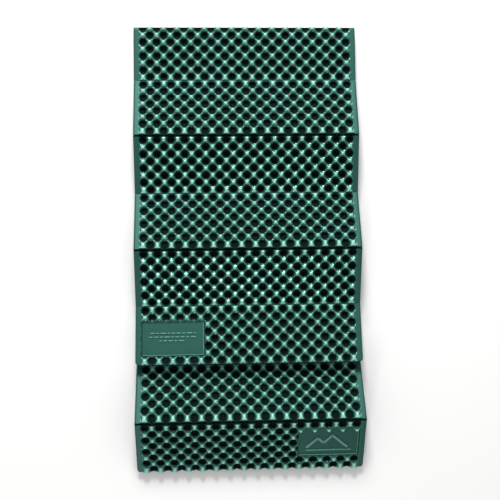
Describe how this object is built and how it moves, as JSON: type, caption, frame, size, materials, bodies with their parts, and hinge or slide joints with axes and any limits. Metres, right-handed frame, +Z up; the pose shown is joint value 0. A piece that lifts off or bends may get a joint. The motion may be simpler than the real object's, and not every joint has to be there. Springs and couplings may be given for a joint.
{
  "type": "folding foam sleeping pad",
  "caption": "Accordion-fold closed-cell foam sleeping mat of hinged egg-crate panels, folded double with its free end raised.",
  "frame": {"origin": "bottom centre of the folded pad's box, on the surface that it lies on", "axes": "+X along the hinges, +Y along the pad towards the fold, +Z up"},
  "size_m": [0.508, 1.0126, 0.0718],
  "materials": {
    "foam": "satin moulded foam skin",
    "hinge_foam": "satin moulded foam skin, compressed thin"
  },
  "bodies": {
    "panel_01": {"panel_01": "foam"},
    "panel_02": {"panel_02": "foam", "hinge_01_02": "hinge_foam"},
    "panel_03": {"panel_03": "foam", "hinge_02_03": "hinge_foam"},
    "panel_04": {"panel_04": "foam", "hinge_03_04": "hinge_foam"},
    "panel_05": {"panel_05": "foam", "hinge_04_05": "hinge_foam"},
    "panel_06": {"panel_06": "foam", "hinge_05_06": "hinge_foam"},
    "panel_07": {"panel_07": "foam", "hinge_06_07": "hinge_foam"},
    "panel_08": {"panel_08": "foam", "hinge_07_08": "hinge_foam", "hinge_08_09": "hinge_foam"},
    "panel_09": {"panel_09": "foam", "hinge_09_10": "hinge_foam"},
    "panel_10": {"panel_10": "foam", "hinge_10_11": "hinge_foam"},
    "panel_11": {"panel_11": "foam", "hinge_11_12": "hinge_foam"},
    "panel_12": {"panel_12": "foam", "hinge_12_13": "hinge_foam"},
    "panel_13": {"panel_13": "foam", "hinge_13_14": "hinge_foam"},
    "panel_14": {"panel_14": "foam"}
  },
  "joints": [
    {"name": "top_fold", "type": "hinge", "parent": "panel_08", "child": "panel_09", "pos_m": [0, 0.5065, 0.0098], "axis": [-1, 0, 0], "range_deg": [0, 180]},
    {"name": "hinge_09_10_fold", "type": "hinge", "parent": "panel_09", "child": "panel_10", "pos_m": [0, 0.3759, 0.0198], "axis": [-1, 0, 0], "range_deg": [0, 166]},
    {"name": "hinge_10_11_fold", "type": "hinge", "parent": "panel_10", "child": "panel_11", "pos_m": [0, 0.24677, 0.04169], "axis": [1, 0, 0], "range_deg": [0, 152]},
    {"name": "hinge_11_12_fold", "type": "hinge", "parent": "panel_11", "child": "panel_12", "pos_m": [0, 0.11762, 0.0198], "axis": [-1, 0, 0], "range_deg": [0, 147]},
    {"name": "hinge_12_13_fold", "type": "hinge", "parent": "panel_12", "child": "panel_13", "pos_m": [0, -0.00911, 0.05286], "axis": [1, 0, 0], "range_deg": [0, 142]},
    {"name": "hinge_13_14_fold", "type": "hinge", "parent": "panel_13", "child": "panel_14", "pos_m": [0, -0.13586, 0.0198], "axis": [-1, 0, 0], "range_deg": [0, 151]},
    {"name": "hinge_07_08_fold", "type": "hinge", "parent": "panel_08", "child": "panel_07", "pos_m": [0, 0.3774, -0.0002], "axis": [1, 0, 0], "range_deg": [0, 180]},
    {"name": "hinge_06_07_fold", "type": "hinge", "parent": "panel_07", "child": "panel_06", "pos_m": [0, 0.2483, 0.0098], "axis": [-1, 0, 0], "range_deg": [0, 180]},
    {"name": "hinge_05_06_fold", "type": "hinge", "parent": "panel_06", "child": "panel_05", "pos_m": [0, 0.11921, -0.0002], "axis": [1, 0, 0], "range_deg": [0, 180]},
    {"name": "hinge_04_05_fold", "type": "hinge", "parent": "panel_05", "child": "panel_04", "pos_m": [0, -0.00989, 0.0098], "axis": [-1, 0, 0], "range_deg": [0, 180]},
    {"name": "hinge_03_04_fold", "type": "hinge", "parent": "panel_04", "child": "panel_03", "pos_m": [0, -0.139, -0.0002], "axis": [1, 0, 0], "range_deg": [0, 180]},
    {"name": "hinge_02_03_fold", "type": "hinge", "parent": "panel_03", "child": "panel_02", "pos_m": [0, -0.2681, 0.0098], "axis": [-1, 0, 0], "range_deg": [0, 151.5]},
    {"name": "hinge_01_02_fold", "type": "hinge", "parent": "panel_02", "child": "panel_01", "pos_m": [0, -0.38764, 0.06333], "axis": [1, 0, 0], "range_deg": [0, 122.36]}
  ],
  "couplings": [
    {"joint": "hinge_10_11_fold", "follows": "hinge_09_10_fold", "ratio": 0.91566},
    {"joint": "hinge_11_12_fold", "follows": "hinge_09_10_fold", "ratio": 0.88554},
    {"joint": "hinge_12_13_fold", "follows": "hinge_09_10_fold", "ratio": 0.85542},
    {"joint": "hinge_13_14_fold", "follows": "hinge_09_10_fold", "ratio": 0.90964},
    {"joint": "hinge_06_07_fold", "follows": "hinge_07_08_fold", "ratio": 1},
    {"joint": "hinge_05_06_fold", "follows": "hinge_07_08_fold", "ratio": 1},
    {"joint": "hinge_04_05_fold", "follows": "hinge_07_08_fold", "ratio": 1},
    {"joint": "hinge_03_04_fold", "follows": "hinge_07_08_fold", "ratio": 1},
    {"joint": "hinge_02_03_fold", "follows": "hinge_07_08_fold", "ratio": 0.84167},
    {"joint": "hinge_01_02_fold", "follows": "hinge_07_08_fold", "ratio": 0.67976}
  ]
}
